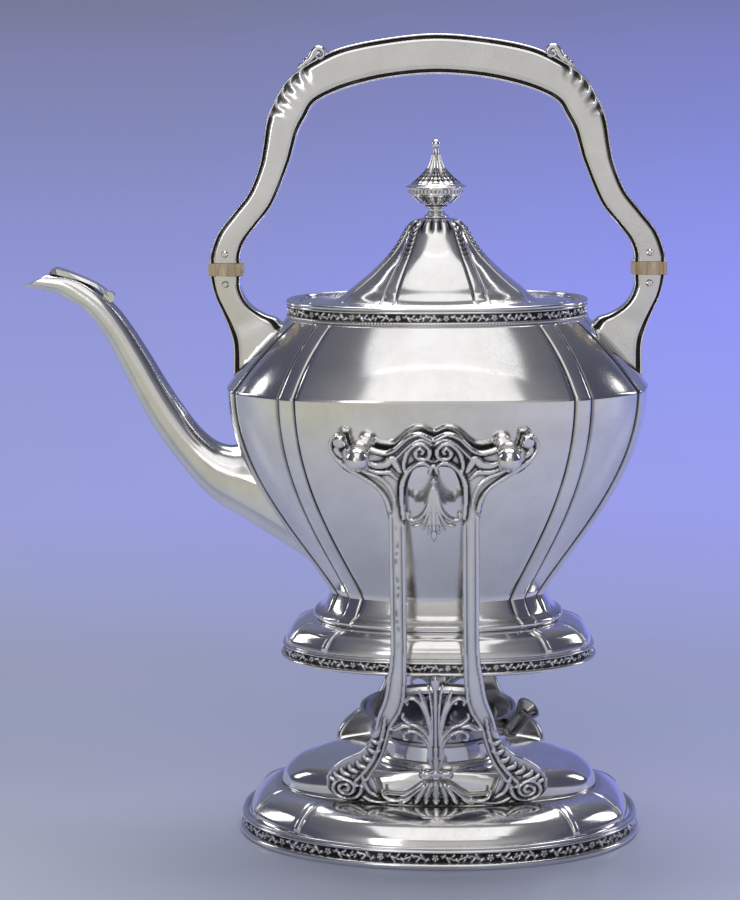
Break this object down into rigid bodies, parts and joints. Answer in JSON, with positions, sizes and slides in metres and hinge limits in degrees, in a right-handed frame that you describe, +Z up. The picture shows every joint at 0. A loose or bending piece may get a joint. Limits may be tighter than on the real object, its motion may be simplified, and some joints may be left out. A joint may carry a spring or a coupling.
{
  "type": "spirit kettle on lamp stand",
  "caption": "Panelled oval silver tea kettle with hinged lid and fixed arched handle, tilting on studs between two pierced brackets of an oval stand with a spirit lamp",
  "frame": {"origin": "the middle of the stand's footprint, on the table", "axes": "+Z up, the spout points to -X, +Y towards the back where the lid's hinge is"},
  "size_m": [0.2691, 0.1386, 0.3375],
  "materials": {
    "silver": "polished silver plate with fine wear, dark in the recesses",
    "dark_silver": "tarnished silver plate of the lamp",
    "ivory": "smooth cream insulating rings",
    "wick": "woven cotton"
  },
  "bodies": {
    "stand": {"stand_base": "silver", "stand_rim_border": "silver", "lamp_collar": "silver", "front_bracket": "silver", "back_bracket": "silver"},
    "pivot_studs": {"spout_side_studs": "silver"},
    "kettle": {"handle_side_studs": "silver", "stud_bosses": "silver", "kettle_body": "silver", "kettle_foot": "silver", "kettle_foot_border": "silver", "mouth_collar": "silver", "spout": "silver", "spout_leaf": "silver", "spout_side_socket": "silver", "handle_side_socket": "silver", "insulators": "ivory", "handle_arch": "silver", "handle_pins": "silver", "hinge_mount": "silver", "hinge_pin": "silver"},
    "lid": {"hinge_leaf": "silver", "lid_cover": "silver", "lid_bezel": "silver", "finial": "silver", "finial_nut": "dark_silver"},
    "lamp": {"lamp_font": "dark_silver", "lamp_gallery": "dark_silver", "filler_tube": "dark_silver", "wick_tube": "dark_silver", "wick": "wick", "snuffer_pin": "dark_silver"},
    "snuffer": {"snuffer_cap": "dark_silver"}
  },
  "joints": [
    {"name": "kettle_lift", "type": "slide", "parent": "stand", "child": "pivot_studs", "axis": [0, 0, 1], "range_m": [0, 0.12]},
    {"name": "kettle_tilt", "type": "hinge", "parent": "pivot_studs", "child": "kettle", "pos_m": [-0.03, 0, 0.1715], "axis": [0, -1, 0], "range_deg": [0, 60]},
    {"name": "lid_hinge", "type": "hinge", "parent": "kettle", "child": "lid", "pos_m": [0, 0.0406, 0.2294], "axis": [-1, 0, 0], "range_deg": [0, 100]},
    {"name": "lamp_lift", "type": "slide", "parent": "stand", "child": "lamp", "axis": [0, 0, 1], "range_m": [0, 0.0222]},
    {"name": "snuffer_hinge", "type": "hinge", "parent": "lamp", "child": "snuffer", "pos_m": [0, 0.0087, 0.05195], "axis": [-1, 0, 0], "range_deg": [0, 95]}
  ]
}
